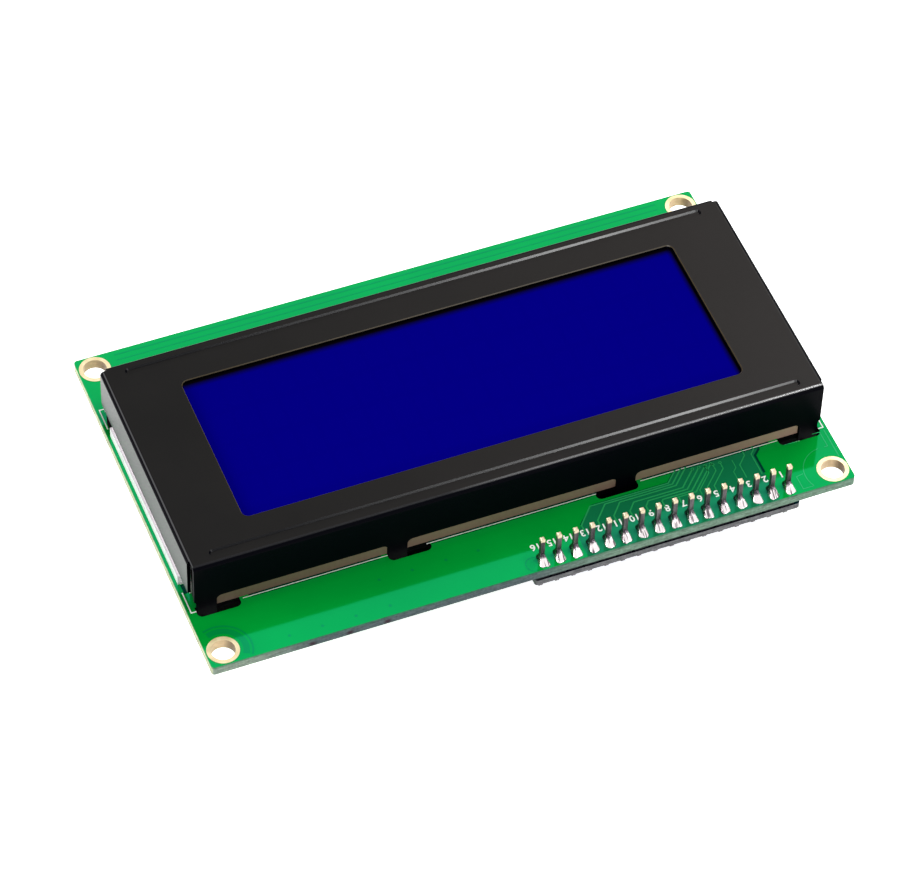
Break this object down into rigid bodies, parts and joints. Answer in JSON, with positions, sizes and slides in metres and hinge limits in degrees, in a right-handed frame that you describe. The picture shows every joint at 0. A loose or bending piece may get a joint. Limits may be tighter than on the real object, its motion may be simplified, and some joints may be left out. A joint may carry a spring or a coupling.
{
  "type": "character lcd module",
  "caption": "Alphanumeric display module on a green board with a black folded bezel, blue screen, pin header and a small adapter board soldered behind it.",
  "frame": {"origin": "centre of the four mounting holes, on the underside of the display board", "axes": "+X to the reader's right along the long side, +Y up the display towards the pin header, +Z out of the display's face"},
  "size_m": [0.098, 0.06, 0.0191],
  "materials": {
    "solder_mask": "gloss solder mask over glass-fibre board",
    "adapter_mask": "gloss solder mask over glass-fibre board",
    "tin": "tinned metal and solder, bright",
    "black_sheet": "black painted steel sheet, satin",
    "cell_glass": "clear cell glass, polished",
    "polarizer": "deep blue polarizing film, gloss",
    "strip_rubber": "striped silicone rubber, matte",
    "white_plastic": "white moulded plastic, satin",
    "clear_plastic": "clear acrylic",
    "lamp_resin": "yellow phosphor resin",
    "black_resin": "black moulded resin, satin",
    "black_plastic": "black moulded plastic, satin",
    "blue_plastic": "blue moulded plastic, satin",
    "rotor_plastic": "white moulded plastic",
    "chip_ceramic": "glazed black ceramic"
  },
  "bodies": {
    "module": {"display_board": "solder_mask", "mounting_hole_lands": "tin", "bezel": "black_sheet", "front_glass": "cell_glass", "rear_glass": "cell_glass", "front_polarizer": "polarizer", "rear_polarizer": "polarizer", "upper_contact_strip": "strip_rubber", "lower_contact_strip": "strip_rubber", "backlight_housing": "white_plastic", "reflector_film": "white_plastic", "light_guide": "clear_plastic", "diffuser_film": "white_plastic", "led_strip": "solder_mask", "backlight_leds": "lamp_resin", "backlight_leads": "tin", "backlight_solder": "tin", "sealed_chips": "black_resin", "header_insulator": "black_plastic", "header_pins": "tin", "header_front_solder": "tin", "header_rear_solder": "tin", "adapter_board": "adapter_mask", "expander_chip": "black_resin", "expander_leads": "tin", "trimmer_housing": "blue_plastic", "trimmer_pins": "tin", "trimmer_solder": "tin", "bus_header_insulator": "black_plastic", "bus_header_pins": "tin", "jumper_header_insulator": "black_plastic", "jumper_header_pins": "tin", "angled_header_solder": "tin", "underside_resistors": "chip_ceramic", "underside_resistor_ends": "tin", "adapter_resistors": "chip_ceramic", "adapter_resistor_ends": "tin", "power_lamp": "lamp_resin", "power_lamp_ends": "tin", "backlight_transistor": "black_resin", "transistor_leads": "tin"},
    "trimmer_rotor": {"trimmer_rotor": "rotor_plastic"},
    "jumper_cap": {"jumper_cap": "black_plastic", "jumper_clip": "tin"}
  },
  "joints": [
    {"name": "trimmer_turn", "type": "hinge", "parent": "module", "child": "trimmer_rotor", "pos_m": [-0.0095, 0.0181, -0.008], "axis": [0, 0, -1], "range_deg": [-130, 130]},
    {"name": "jumper_cap_slide", "type": "slide", "parent": "module", "child": "jumper_cap", "axis": [1, 0, 0], "range_m": [0, 0.0064]}
  ]
}
